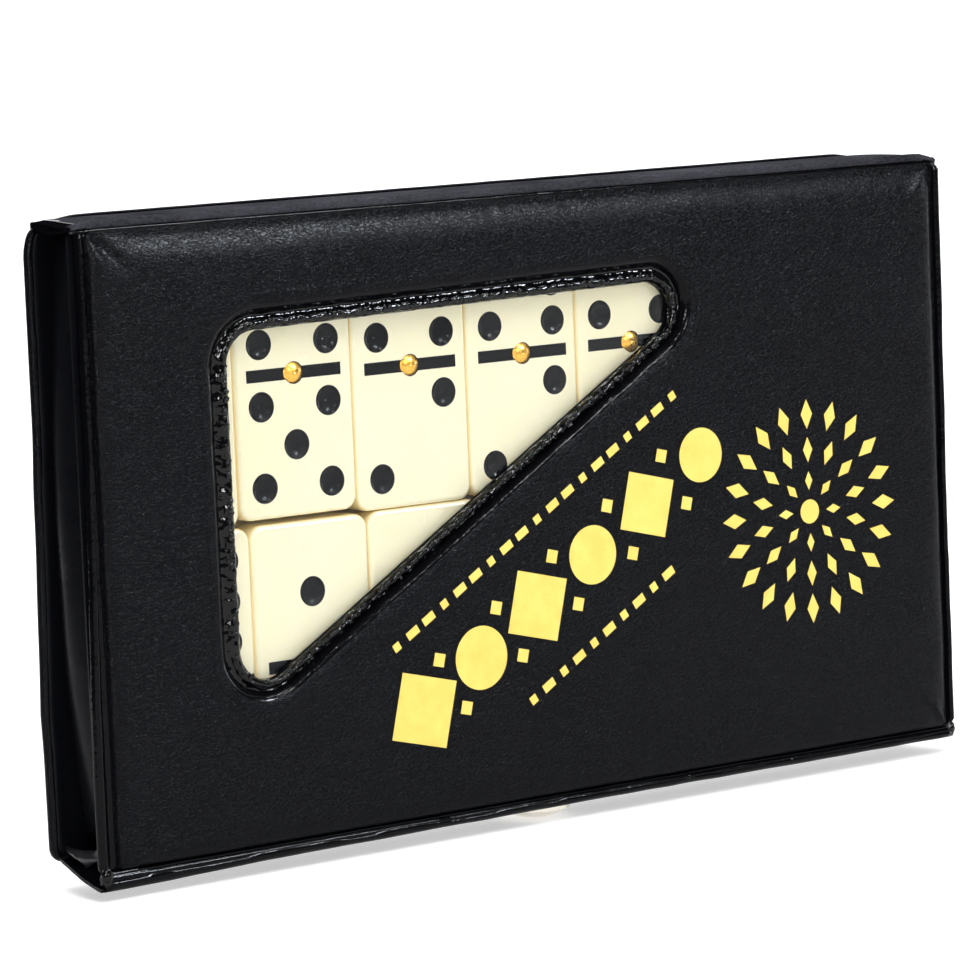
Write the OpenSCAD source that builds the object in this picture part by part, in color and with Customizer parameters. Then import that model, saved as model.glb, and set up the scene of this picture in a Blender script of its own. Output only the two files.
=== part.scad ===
// Domino storage box: vinyl covered case with a hinged spine, a cover with a
// clear window, a snap-down closing flap, and a double-six set in two layers.
// Everything is drawn lying on its back (x right, y up the cover, z out of the
// cover) and stood up by stand(). Millimetres.

/* [Tiles] */
// Length of one tile
tile_l = 48; // [40:0.5:56]
// Width of one tile
tile_w = 23.9; // [20:0.1:28]
// Thickness of one tile
tile_t = 6; // [5:0.1:9]
// Corner radius of a tile seen from the front
tile_r = 2.5; // [1.5:0.1:4]
// Rounding of a tile's edges
tile_edge = 0.9; // [0.4:0.1:1.2]
// Diameter of one pip
pip_d = 5.1; // [3:0.1:6]
// Depth of one pip
pip_depth = 0.8; // [0.4:0.05:1.2]
// Sideways distance of the pips from the middle
pip_dx = 6.8; // [5:0.1:8]
// Width of the divider groove
bar_w = 2.1; // [1:0.1:3]
// Depth of the divider groove
bar_depth = 0.35; // [0.2:0.05:0.8]
// Diameter of a spinner head
spin_d = 3.7; // [3:0.1:5]
// Height of a spinner head above the tile
spin_up = 0.35; // [0.2:0.05:0.6]

/* [Tray] */
// Free play across the seven columns
play_x = 2; // [1.9:0.1:4]
// Free play along the two rows
play_y = 1.2; // [1.2:0.1:3]
// Thickness of a tray wall with its covering
wall_t = 2.1; // [1.5:0.1:2.5]
// How far the covers stand out past the tray ends
overhang = 6.35; // [5:0.05:10]

/* [Covers] */
// Thickness of the back cover
back_t = 1.9; // [1.7:0.1:2.6]
// Thickness of the front cover with its padding
cover_t = 3.3; // [3.1:0.1:4.5]
// Thickness of the spine
spine_t = 1.9; // [1.5:0.1:2.3]
// Thickness of the closing flap
flap_t = 1.6; // [1.5:0.1:2]
// Thickness of the outer vinyl
skin_t = 0.5; // [0.4:0.05:0.6]
// Bead diameter of the welded rims on the front cover
rim_d = 2; // [1.6:0.1:2.4]
// Distance from the case edge to the padded face
pad_in = 3.6; // [3.4:0.1:6]
// Rounding of the padded face
pad_r = 1.6; // [1:0.1:1.8]
// Space between the flap and the tray for the snap
snap_gap = 3; // [2.4:0.1:3.5]
// Distance of the flap tip from the back face
flap_tip = 2.4; // [1.5:0.1:5]

/* [Window] */
// Corner centre, upper left, from the left edge
win_x1 = 35.6; // [32:0.1:40]
// Corner centre, upper left, from the lower edge
win_y1 = 82.1; // [75:0.1:86]
// Corner centre, upper right, from the left edge
win_x2 = 118.8; // [100:0.1:130]
// Corner centre, upper right, from the lower edge
win_y2 = 84.3; // [75:0.1:88]
// Corner centre, lower, from the left edge
win_x3 = 35.6; // [32:0.1:40]
// Corner centre, lower, from the lower edge
win_y3 = 35.1; // [28:0.1:45]
// Radius of the window corners
win_r = 5.6; // [3.5:0.1:7]
// Radius of the window's upper right corner
win_r2 = 5; // [3.5:0.1:7]
// Width of the weld zone round the window
weld_w = 3; // [2.8:0.1:4]
// Diameter of the melted bead round the window
bead_d = 1.8; // [1.4:0.1:1.8]

/* [Snap] */
// Diameter of the snap cap
cap_d = 12.4; // [10:0.1:14]
// Height of the snap cap
cap_h = 2.9; // [2.5:0.1:4.5]
// Snap position right of the middle
snap_x = 1.3; // [-10:0.1:10]

/* [Hidden] */
clear = 0.3;
tile_gap = 0.1;
pitch_x = tile_w + tile_gap;
in_w = 7 * pitch_x + play_x;
in_h = 2 * tile_l + play_y;
tray_w = in_w + 2 * wall_t;
tray_h = in_h + 2 * wall_t;
case_w = tray_w + 2 * overhang;
tray_y = flap_t + snap_gap;
in_y = tray_y + wall_t;
spine_y = tray_y + tray_h + clear;
case_h = spine_y + spine_t;
layer_t = tile_t + spin_up;
cover_z = back_t + 2 * layer_t + clear;
case_t = cover_z + cover_t;
tray_z = cover_z - 0.35;
// cover stack, from the inside out
line_t = 0.4;
board_z = cover_z + line_t;
film_t = 0.25;
flange_z = board_z + 0.8;
skin_z = case_t - skin_t;
core_t = skin_z - board_z;
foam_z = board_z + core_t / 2;
pad_wall = 0.7;
top_y = spine_y - clear;
cover_y = flap_t + 0.45;
rim_r = rim_d / 2;
rim_z = board_z + 0.1 + rim_r;
// hinge lines: [y, z]
hinge_a = [spine_y + spine_t / 2, spine_t / 2 + 0.15];
hinge_b = [spine_y + spine_t / 2, case_t - 1.6];
hinge_c = [flap_t / 2, case_t - 1.8];
back_y = flap_t + 1;
back_line = 0.4;
back_rim = back_t / 2;
back_in = back_t + 1.1;
// tray covering
wrap_out = 0.4;
wrap_in = 0.3;
tray_r = 2.2;
// snap
snap_z = (back_t + tray_z) / 2 + 1.25;
post_d = 2.4;
stud_d = 4;
stud_flange = 0.5;
ivory = [0.98, 0.95, 0.82];
black = [0.08, 0.08, 0.1];
grey = [0.45, 0.43, 0.4];
brass = [0.85, 0.68, 0.3];
steel = [0.8, 0.78, 0.72];
$fn = 48;

// Which node to draw

module stand() {
  translate([0, case_t / 2, cap_h]) rotate([90, 0, 0]) children();
}

module rrect(w, h, r) {
  square([w - 2 * r, h], center = true);
  square([w, h - 2 * r], center = true);
  for (x = [-1, 1], y = [-1, 1])
    translate([x * (w / 2 - r), y * (h / 2 - r)]) circle(r);
}

// flat plate, x centred, from y0 to y1 and z0 to z1
module plate(w, y0, y1, z0, z1, r) {
  translate([0, (y0 + y1) / 2, z0])
    linear_extrude(z1 - z0) rrect(w, y1 - y0, r);
}

module rod_x(w, y, z, r) {
  translate([-w / 2, y, z]) rotate([0, 90, 0]) cylinder(h = w, r = r);
}

module rod_y(x, y0, y1, z, r) {
  translate([x, y0, z]) rotate([-90, 0, 0]) cylinder(h = y1 - y0, r = r);
}

module rod_z(x, y, z0, z1, r) {
  translate([x, y, z0]) cylinder(h = z1 - z0, r = r);
}

// rounded section w wide and t high, square below when low is set
module profile(w, t, r, low) {
  if (low) intersection() {
    rrect(w, 2 * t, r);
    translate([-w / 2, 0]) square([w, t]);
  }
  else translate([0, t / 2]) rrect(w, t, r);
}

module puck(t, rc, re, low) {
  rotate_extrude(angle = 90) intersection() {
    profile(2 * rc, t, re, low);
    square([rc, t]);
  }
}

// plate with rounded corners and edges
module pillow(w, h, t, rc, re, low) {
  x = w / 2 - rc;
  y = h / 2 - rc;
  rotate([90, 0, 90]) linear_extrude(2 * x, center = true) profile(h, t, re, low);
  rotate([90, 0, 0]) linear_extrude(2 * y, center = true) profile(w, t, re, low);
  translate([x, y, 0]) puck(t, rc, re, low);
  translate([-x, y, 0]) rotate([0, 0, 90]) puck(t, rc, re, low);
  translate([-x, -y, 0]) rotate([0, 0, 180]) puck(t, rc, re, low);
  translate([x, -y, 0]) rotate([0, 0, 270]) puck(t, rc, re, low);
}

// ---- window outline ----
win_n = 12;
win_c = [
  [win_x1 - case_w / 2, win_y1],
  [win_x2 - case_w / 2, win_y2],
  [win_x3 - case_w / 2, win_y3]
];

win_rr = [win_r, win_r2, win_r];

function side_n(i) =
  let (j = (i + 1) % 3, v = win_c[j] - win_c[i], u = v / norm(v),
    s = (win_rr[i] - win_rr[j]) / norm(v))
  sqrt(1 - s * s) * [-u[1], u[0]] + s * u;

function side_a(i) = atan2(side_n(i)[1], side_n(i)[0]);

function turn(i) = (side_a(i) - side_a((i + 1) % 3) + 720) % 360;

function bend(i, r) = [
  for (k = [0 : win_n])
    let (a = side_a(i) - turn(i) * k / win_n)
    win_c[(i + 1) % 3] + r * [cos(a), sin(a)]
];

module win(d) {
  polygon(concat(bend(0, win_r2 + d), bend(1, win_r + d), bend(2, win_r + d)));
}

module win_ring(d0, d1, z0, z1) {
  translate([0, 0, z0]) linear_extrude(z1 - z0) difference() {
    win(d1);
    win(d0);
  }
}

// ---- one tile, centred, face up ----
half_y = tile_l / 4;
sph = (pip_d * pip_d / 4 + pip_depth * pip_depth) / (2 * pip_depth);
spin_h = spin_up + bar_depth;
spin_sph = (spin_d * spin_d / 4 + spin_h * spin_h) / (2 * spin_h);

function pips(n) = concat(
  n % 2 == 1 ? [[0, 0]] : [],
  n > 1 ? [[1, 1], [-1, -1]] : [],
  n > 3 ? [[-1, 1], [1, -1]] : [],
  n == 6 ? [[-1, 0], [1, 0]] : []
);

module tile_body() pillow(tile_w, tile_l, tile_t, tile_r, tile_edge, false);

module half_pips(n, s) {
  for (p = pips(n))
    translate([p[0] * pip_dx, s * half_y + p[1] * pip_dx, tile_t - pip_depth + sph])
      sphere(sph);
}

module tile(up, low) {
  difference() {
    tile_body();
    half_pips(up, 1);
    half_pips(low, -1);
    translate([-tile_w * 0.4, -bar_w / 2, tile_t - bar_depth])
      cube([tile_w * 0.8, bar_w, 1]);
    translate([0, 0, tile_t - bar_depth]) cylinder(h = 1, d = spin_d + 0.1);
    translate([0, 0, tile_t - 3]) cylinder(h = 3, d = 2.04);
  }
}

// small shifts of the loose tiles: [layer][row][column]
nudge = [
  [[0.1, 0.2, 0.1, 0.2, 0.1, 0.1, 0.2], [0.1, 0.1, 0.2, 0.1, 0.2, 0.1, 0.1]],
  [[0.1, 0.05, 0.1, 0, 0.1, 0, 0.1], [0.1, 0.9, 0.1, 0.1, 0.15, 0.4, 0.2]]
];
slide = [[1, 0.9], [1.9, 0.1]];

// layer 0 is at the bottom, row 1 is the upper one
function spot(l, r, c) = [
  -in_w / 2 + slide[l][r] + (c + 0.5) * pitch_x,
  in_y + 0.15 + r * (tile_l + 0.1) + tile_l / 2 + nudge[l][r][c],
  back_t + l * layer_t
];

module tile_at(l, r, c, up, low) {
  translate(spot(l, r, c)) tile(up, low);
}

module spinner_pins() color(brass) stand() {
  for (l = [0, 1], r = [0, 1], c = [0 : 6])
    translate(spot(l, r, c) + [0, 0, tile_t - bar_depth]) {
      intersection() {
        translate([0, 0, spin_h - spin_sph]) sphere(spin_sph);
        cylinder(h = 3, d = spin_d);
      }
      translate([0, 0, -2.5]) cylinder(h = 2.6, d = 2);
    }
}

// ---- the double-six set ----
module tile_0_0() color(ivory) stand() tile_at(0, 1, 0, 0, 0);
module tile_0_1() color(ivory) stand() tile_at(0, 1, 1, 1, 0);
module tile_0_2() color(ivory) stand() tile_at(0, 1, 2, 0, 2);
module tile_0_3() color(ivory) stand() tile_at(1, 0, 2, 0, 3);
module tile_0_4() color(ivory) stand() tile_at(0, 1, 3, 4, 0);
module tile_0_5() color(ivory) stand() tile_at(1, 1, 5, 0, 5);
module tile_0_6() color(ivory) stand() tile_at(1, 0, 5, 0, 6);
module tile_1_1() color(ivory) stand() tile_at(1, 1, 6, 1, 1);
module tile_1_2() color(ivory) stand() tile_at(0, 1, 4, 1, 2);
module tile_1_3() color(ivory) stand() tile_at(0, 1, 5, 3, 1);
module tile_1_4() color(ivory) stand() tile_at(1, 0, 1, 1, 4);
module tile_1_5() color(ivory) stand() tile_at(0, 1, 6, 1, 5);
module tile_1_6() color(ivory) stand() tile_at(0, 0, 0, 6, 1);
module tile_2_2() color(ivory) stand() tile_at(1, 0, 3, 2, 2);
module tile_2_3() color(ivory) stand() tile_at(0, 0, 1, 2, 3);
module tile_2_4() color(ivory) stand() tile_at(0, 0, 2, 4, 2);
module tile_2_5() color(ivory) stand() tile_at(1, 1, 2, 5, 2);
module tile_2_6() color(ivory) stand() tile_at(1, 1, 3, 6, 2);
module tile_3_3() color(ivory) stand() tile_at(1, 0, 6, 3, 3);
module tile_3_4() color(ivory) stand() tile_at(1, 1, 4, 4, 3);
module tile_3_5() color(ivory) stand() tile_at(1, 1, 0, 3, 5);
module tile_3_6() color(ivory) stand() tile_at(0, 0, 3, 3, 6);
module tile_4_4() color(ivory) stand() tile_at(0, 0, 4, 4, 4);
module tile_4_5() color(ivory) stand() tile_at(0, 0, 5, 5, 4);
module tile_4_6() color(ivory) stand() tile_at(1, 0, 0, 6, 4);
module tile_5_5() color(ivory) stand() tile_at(1, 0, 4, 5, 5);
module tile_5_6() color(ivory) stand() tile_at(1, 1, 1, 6, 5);
module tile_6_6() color(ivory) stand() tile_at(0, 0, 6, 6, 6);

// ---- back cover ----
module back_shape() {
  e = case_w / 2 - back_rim;
  plate(case_w - 2 * back_in, back_y + back_in, top_y, 0, skin_t, 0.5);
  plate(2 * e, back_y + back_rim, top_y, skin_t, back_t - back_line, 0.2);
  for (s = [-1, 1]) {
    rod_y(s * e, back_y + back_rim, top_y, back_rim, back_rim);
    translate([s * e, back_y + back_rim, back_rim]) sphere(back_rim);
  }
  rod_x(2 * e, back_y + back_rim, back_rim, back_rim);
}

module back_skin() color(black) stand() {
  difference() {
    back_shape();
    plate(case_w - 2 * back_in - 1, back_y + back_in + 0.5, top_y - 1,
      skin_t, back_t, 0.4);
  }
}

module back_board() color(grey) stand() {
  plate(case_w - 2 * back_in - 1.1, back_y + back_in + 0.55, top_y - 1.05,
    skin_t, back_t - back_line, 0.4);
}

module back_lining() color(black) stand() {
  plate(case_w - 2 * back_t - 0.2, back_y + back_t + 0.1, top_y,
    back_t - back_line, back_t, 0.4);
}

// ---- tray ----
module tray_hole(d) {
  translate([snap_x, tray_y - 1, snap_z])
    rotate([-90, 0, 0]) cylinder(h = wall_t + 0.7, d = d);
}

module tray_ring(out, inn, z1) {
  y0 = tray_y + out;
  y1 = tray_y + tray_h - out;
  difference() {
    plate(tray_w - 2 * out, y0, y1, back_t, z1, tray_r - out);
    plate(in_w + 2 * inn, in_y - inn, in_y + in_h + inn, back_t - 1, z1 + 1, 0.8);
  }
}

module tray_board() color(grey) stand() {
  difference() {
    tray_ring(wrap_out, wrap_in, tray_z - 0.3);
    tray_hole(post_d + 0.1);
    translate([snap_x, in_y - wrap_in - 0.5, snap_z])
      rotate([-90, 0, 0]) cylinder(h = 2, d = 7.1);
  }
}

module tray_vinyl() color(black) stand() {
  difference() {
    tray_ring(0, 0, tray_z);
    tray_ring(wrap_out, wrap_in, tray_z - 0.3);
    translate([snap_x, tray_y - 1, snap_z])
      rotate([-90, 0, 0]) cylinder(h = 1 + wrap_out, d = post_d + 0.1);
  }
}

module snap_post() color(steel) stand() {
  translate([snap_x, tray_y, snap_z]) rotate([-90, 0, 0]) {
    translate([0, 0, wall_t - wrap_in - 0.5]) cylinder(h = 0.5, d = 7);
    translate([0, 0, -1.2]) cylinder(h = wall_t + 0.5, d = post_d);
  }
}

module snap_stud() color(steel) stand() {
  translate([snap_x, tray_y, snap_z]) rotate([-90, 0, 0]) difference() {
    union() {
      translate([0, 0, -stud_flange]) cylinder(h = stud_flange, d = 9);
      translate([0, 0, 0.6 - snap_gap]) cylinder(h = snap_gap - 0.7, d = stud_d - 0.5);
      translate([0, 0, 0.9 - snap_gap]) cylinder(h = 0.7, d = stud_d);
    }
    translate([0, 0, -1.25]) cylinder(h = 2, d = post_d + 0.06);
  }
}

// ---- spine ----
module spine_skin() color(black) stand() {
  y0 = spine_y;
  y1 = spine_y + spine_t;
  r = spine_t / 2;
  e = case_w / 2 - r;
  za = hinge_a[1];
  zb = hinge_b[1];
  difference() {
    union() {
      plate(2 * e, y0, y1, za, zb, 0.1);
      rod_x(2 * e, hinge_a[0], za, r);
      rod_x(2 * e, hinge_b[0], zb, r);
      for (s = [-1, 1]) {
        rod_z(s * e, hinge_a[0], za, zb, r);
        translate([s * e, hinge_a[0], za]) sphere(r);
        translate([s * e, hinge_b[0], zb]) sphere(r);
      }
    }
    plate(case_w - 6, y0 - 1, y1 - skin_t, za + 1.3, zb - 1.3, 0.1);
    for (z = [za + 1.1, zb - 1.1])
      plate(case_w - 4, y1 - 0.2, y1 + 1, z - 0.3, z + 0.3, 0.1);
  }
}

module spine_board() color(grey) stand() {
  plate(case_w - 6.1, spine_y + 0.3, spine_y + spine_t - skin_t,
    hinge_a[1] + 1.35, hinge_b[1] - 1.35, 0.1);
}

module spine_lining() color(black) stand() {
  plate(case_w - 6.1, spine_y, spine_y + 0.3,
    hinge_a[1] + 1.35, hinge_b[1] - 1.35, 0.1);
}

// ---- front cover ----
pad_y0 = pad_in;
pad_y1 = top_y - 0.6;

module pad(inset, z0, z1) {
  plate(case_w - 2 * pad_in - 2 * inset, pad_y0 + inset, pad_y1 - inset, z0, z1, 1.2);
}

module cover_core(inset, away, z0, z1) {
  difference() {
    pad(inset, z0, z1);
    translate([0, 0, z0 - 1]) linear_extrude(z1 - z0 + 2) win(away);
  }
}

module cover_skin() color(black) stand() {
  e = case_w / 2 - rim_r;
  floor_z = board_z + 0.9;
  difference() {
    union() {
      plate(2 * e, cover_y, top_y, board_z, flange_z, 0.2);
      for (s = [-1, 1]) rod_y(s * e, cover_y, top_y, rim_z, rim_r);
      translate([0, (pad_y0 + pad_y1) / 2, board_z])
        pillow(case_w - 2 * pad_in, pad_y1 - pad_y0, case_t - board_z, 2.2, pad_r, true);
    }
    cover_core(pad_wall, weld_w + 0.5, board_z - 1, skin_z);
    translate([0, 0, floor_z]) linear_extrude(5) win(weld_w);
    translate([0, 0, case_t - 0.5]) linear_extrude(5) win(weld_w + 0.4);
    translate([0, 0, board_z - 1]) linear_extrude(9) win(0);
    translate([0, 0, board_z - 1]) linear_extrude(1 + film_t) win(2.7);
  }
  win_ring(0.15, bead_d, floor_z - 0.1, floor_z + 0.5);
  win_ring(0.45, bead_d - 0.3, floor_z + 0.4, floor_z + 0.9);
}

module cover_padding() color(grey) stand()
  cover_core(pad_wall + 0.05, weld_w + 0.55, foam_z, skin_z);

module cover_board() color(grey) stand()
  cover_core(pad_wall + 0.05, weld_w + 0.55, board_z, foam_z);

module cover_lining() color(black) stand() {
  difference() {
    plate(case_w - 1.8, cover_y, top_y, cover_z, board_z, 0.8);
    translate([0, 0, cover_z - 1]) linear_extrude(3) win(0);
  }
}

module window_film() color([0.8, 0.85, 0.9, 0.4]) stand() {
  translate([0, 0, board_z]) linear_extrude(film_t) win(2.6);
}

// ---- closing flap ----
module flap_hole(d) {
  translate([snap_x, -1, snap_z]) rotate([-90, 0, 0]) cylinder(h = flap_t + 2, d = d);
}

module flap_skin() color(black) stand() {
  r = flap_t / 2;
  e = case_w / 2 - r;
  z0 = flap_tip + r;
  z1 = hinge_c[1];
  difference() {
    union() {
      plate(2 * e, 0, flap_t, z0, z1, 0.1);
      rod_x(2 * e, r, z0, r);
      rod_x(2 * e, r, z1, r);
      for (s = [-1, 1]) {
        rod_z(s * e, r, z0, z1, r);
        translate([s * e, r, z0]) sphere(r);
        translate([s * e, r, z1]) sphere(r);
      }
    }
    plate(case_w - 5, skin_t, flap_t + 1, z0 + 1, z1 - 1.2, 0.1);
    flap_hole(post_d + 0.1);
  }
}

module flap_layer(y0, y1) {
  r = flap_t / 2;
  difference() {
    plate(case_w - 5.1, y0, y1, flap_tip + r + 1.05, hinge_c[1] - 1.25, 0.1);
    flap_hole(post_d + 0.1);
  }
}

module flap_board() color(grey) stand() flap_layer(skin_t, flap_t - 0.4);

module flap_lining() color(black) stand() flap_layer(flap_t - 0.4, flap_t);

module snap_cap() color(steel) stand() {
  rim = 1.1;
  h = cap_h - rim;
  big = (cap_d * cap_d / 4 + h * h) / (2 * h);
  translate([snap_x, 0, snap_z]) rotate([90, 0, 0]) {
    cylinder(h = rim, d = cap_d);
    translate([0, 0, rim]) intersection() {
      translate([0, 0, h - big]) sphere(big);
      cylinder(h = h + 1, d = cap_d);
    }
    translate([0, 0, -flap_t - 0.25]) cylinder(h = flap_t + 1, d = post_d);
  }
}

module snap_socket() color(steel) stand() {
  translate([snap_x, flap_t, snap_z]) rotate([-90, 0, 0]) difference() {
    union() {
      cylinder(h = 0.4, d = 9.6);
      cylinder(h = snap_gap - stud_flange - 0.7, d = 7.4);
    }
    translate([0, 0, 0.3]) cylinder(h = snap_gap, d = stud_d + 0.4);
    translate([0, 0, -1]) cylinder(h = 2, d = post_d + 0.06);
  }
}

back_skin();
back_board();
back_lining();
tray_board();
tray_vinyl();
snap_post();
snap_stud();
spine_skin();
spine_board();
spine_lining();
cover_skin();
cover_padding();
cover_board();
cover_lining();
window_film();
flap_skin();
flap_board();
flap_lining();
snap_cap();
snap_socket();
spinner_pins();
tile_0_0();
tile_0_1();
tile_0_2();
tile_0_3();
tile_0_4();
tile_0_5();
tile_0_6();
tile_1_1();
tile_1_2();
tile_1_3();
tile_1_4();
tile_1_5();
tile_1_6();
tile_2_2();
tile_2_3();
tile_2_4();
tile_2_5();
tile_2_6();
tile_3_3();
tile_3_4();
tile_3_5();
tile_3_6();
tile_4_4();
tile_4_5();
tile_4_6();
tile_5_5();
tile_5_6();
tile_6_6();
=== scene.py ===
import math

import bmesh
import bpy
from mathutils import Matrix, Vector, geometry, noise


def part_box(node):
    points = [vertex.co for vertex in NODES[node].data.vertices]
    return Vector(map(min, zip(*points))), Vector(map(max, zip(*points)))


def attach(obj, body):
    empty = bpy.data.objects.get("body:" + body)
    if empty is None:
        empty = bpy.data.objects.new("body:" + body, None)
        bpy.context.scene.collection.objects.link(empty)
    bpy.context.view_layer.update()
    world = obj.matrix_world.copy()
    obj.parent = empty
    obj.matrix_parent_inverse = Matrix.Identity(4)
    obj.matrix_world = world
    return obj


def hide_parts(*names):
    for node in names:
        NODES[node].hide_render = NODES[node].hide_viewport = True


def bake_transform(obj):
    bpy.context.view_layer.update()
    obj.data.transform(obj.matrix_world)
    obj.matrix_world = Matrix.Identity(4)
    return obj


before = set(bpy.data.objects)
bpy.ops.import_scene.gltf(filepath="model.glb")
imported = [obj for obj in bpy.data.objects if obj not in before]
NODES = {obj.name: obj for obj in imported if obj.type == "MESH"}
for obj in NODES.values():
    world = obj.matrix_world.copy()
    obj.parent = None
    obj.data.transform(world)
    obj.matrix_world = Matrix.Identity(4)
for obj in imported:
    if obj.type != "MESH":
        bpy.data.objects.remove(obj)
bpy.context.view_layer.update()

# ---------------------------------------------------------------- sizes, mm
# The case is described lying on its back: x right, y up the cover, z out of
# the cover. L() stands it up in the row frame, in metres.
W, H, T = 186.9, 108.2, 18.2
LIFT = 2.9
TOP_Y, COVER_Y = 106.0, 1.7
PAD_Z = 18.1
# Fold lines (y, z): back cover to spine, and spine to front cover.
HA = (107.25, 1.1)
HB = (107.25, 16.6)
# Centres and radii of the window's three rounded corners.
WIN_C = [(35.6 - W / 2, 82.1), (118.8 - W / 2, 84.3), (35.6 - W / 2, 35.1)]
WIN_R = (5.6, 5.0, 5.6)
TRAY = (-87.1, 4.6, 87.1, 106.0)
TRAY_Z = (1.95, 14.52)
TRAY_BULGE = 5.3
FLANGE, GROOVE = 3.6, 3.4  # insets where the welded flange ends and the pad starts
RIGHT_OUT = 0.95  # how far the right flange stands out
PAD_FOOT, PAD_RISE, PAD_LOW = 16.35, 1.75, 16.85


def L(x, y, z):
    return Vector((x / 1000, (T / 2 - z) / 1000, (LIFT + y) / 1000))


def back(p):
    """Row frame metres to lying millimetres."""
    return Vector((p[0] * 1000, p[2] * 1000 - LIFT, T / 2 - p[1] * 1000))


# ---------------------------------------------------------------- camera
TURN = (36.74, 6.338, -2.456)
EYE = Vector((-0.114, 1.024, 854.437))
AIM = Vector((0, 54.15, 0.4))
SENSOR, FOCAL_PX, WIDTH_PX = 36, 4872.1, 970


def make_camera():
    """A camera placed in the lying frame, then turned into the row frame."""
    cam = bpy.data.objects.new("camera", bpy.data.cameras.new("camera"))
    bpy.context.scene.collection.objects.link(cam)
    yaw, pitch, roll = map(math.radians, TURN)
    cy, sy, cp, sp = math.cos(yaw), math.sin(yaw), math.cos(pitch), math.sin(pitch)
    cr, sr = math.cos(roll), math.sin(roll)
    base = Matrix(((1, 0, 0), (0, -1, 0), (0, 0, -1)))
    ry = Matrix(((cy, 0, -sy), (0, 1, 0), (sy, 0, cy)))
    rp = Matrix(((1, 0, 0), (0, cp, -sp), (0, sp, cp)))
    rr = Matrix(((cr, -sr, 0), (sr, cr, 0), (0, 0, 1)))
    m = rr @ rp @ ry @ base
    up = Matrix(((1, 0, 0), (0, 0, -1), (0, 1, 0)))
    right, top, look = up @ m[0], up @ -m[1], up @ m[2]
    eye = -(m.transposed() @ EYE)
    eye = eye + AIM
    rot = Matrix((right, top, -look)).transposed()
    cam.matrix_world = Matrix.Translation(L(*eye)) @ rot.to_4x4()
    cam.data.sensor_width = SENSOR
    cam.data.lens = FOCAL_PX * SENSOR / WIDTH_PX
    cam.data.clip_start, cam.data.clip_end = 0.05, 20
    bpy.context.scene.camera = cam
    return cam


make_camera()


# ---------------------------------------------------------------- materials
def node(nt, kind, **values):
    n = nt.nodes.new(kind)
    for k, v in values.items():
        if k in n.inputs:
            n.inputs[k].default_value = v
        else:
            setattr(n, k, v)
    return n


def new_mat(name, **surface):
    m = bpy.data.materials.new(name)
    m.use_nodes = True
    b = m.node_tree.nodes["Principled BSDF"]
    for k, v in surface.items():
        b.inputs[k.replace("_", " ")].default_value = v
    return m, m.node_tree, b


def coords(nt, scale=(1, 1, 1)):
    tc = node(nt, "ShaderNodeTexCoord")
    mp = node(nt, "ShaderNodeMapping")
    mp.inputs["Scale"].default_value = scale
    nt.links.new(tc.outputs["Object"], mp.inputs["Vector"])
    return mp.outputs["Vector"]


def tex_noise(nt, vec, scale, detail=3.0, rough=0.5, distortion=0.0):
    n = node(nt, "ShaderNodeTexNoise", Scale=scale, Detail=detail)
    n.inputs["Roughness"].default_value = rough
    n.inputs["Distortion"].default_value = distortion
    nt.links.new(vec, n.inputs["Vector"])
    return n.outputs["Fac"]


def ramp(nt, fac, stops):
    r = node(nt, "ShaderNodeValToRGB")
    e = r.color_ramp.elements
    while len(e) < len(stops):
        e.new(0.5)
    for i, (p, c) in enumerate(stops):
        e[i].position = p
        e[i].color = c if len(c) == 4 else (*c, 1)
    nt.links.new(fac, r.inputs["Fac"])
    return r.outputs["Color"]


def grey(v):
    return (v, v, v, 1)


def math_node(nt, op, a, b):
    n = node(nt, "ShaderNodeMath", operation=op)
    for i, s in enumerate((a, b)):
        if isinstance(s, (int, float)):
            n.inputs[i].default_value = s
        else:
            nt.links.new(s, n.inputs[i])
    return n.outputs[0]


def bump(nt, bsdf, height, distance, strength=1.0, under=None):
    n = node(nt, "ShaderNodeBump", Strength=strength, Distance=distance)
    nt.links.new(height, n.inputs["Height"])
    if under is not None:
        nt.links.new(under, n.inputs["Normal"])
    if bsdf is not None:
        nt.links.new(n.outputs["Normal"], bsdf.inputs["Normal"])
    return n.outputs["Normal"]


def vary(nt, bsdf, socket, vec, noise_args, stops):
    """Drives a socket with a ramp over a noise. A stop's value is a grey or a colour."""
    stops = [(p, c if isinstance(c, tuple) else grey(c)) for p, c in stops]
    nt.links.new(ramp(nt, tex_noise(nt, vec, *noise_args), stops), bsdf.inputs[socket])


def ridges(nt, vec, scale, detail, warp):
    """Lines of fine wrinkles: the places where a noise passes through its middle."""
    n = tex_noise(nt, vec, scale, detail, 0.5, warp)
    r = node(nt, "ShaderNodeMapRange")
    nt.links.new(math_node(nt, "ABSOLUTE", math_node(nt, "SUBTRACT", n, 0.5), 0.0), r.inputs[0])
    r.inputs[1].default_value, r.inputs[2].default_value = 0.0, 0.09
    return r.outputs[0]


def leather_height(nt, vec):
    """Short wrinkles that run across the sheet, over fine cells."""
    flat = node(nt, "ShaderNodeMapping")
    flat.inputs["Scale"].default_value = (0.55, 1.0, 1.3)
    nt.links.new(vec, flat.inputs["Vector"])
    long = ridges(nt, flat.outputs[0], 1900.0, 2.0, 0.7)
    fine = tex_noise(nt, flat.outputs[0], 3200.0, 2.0)
    return math_node(nt, "ADD", math_node(nt, "MULTIPLY", long, 0.5), fine)


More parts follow.
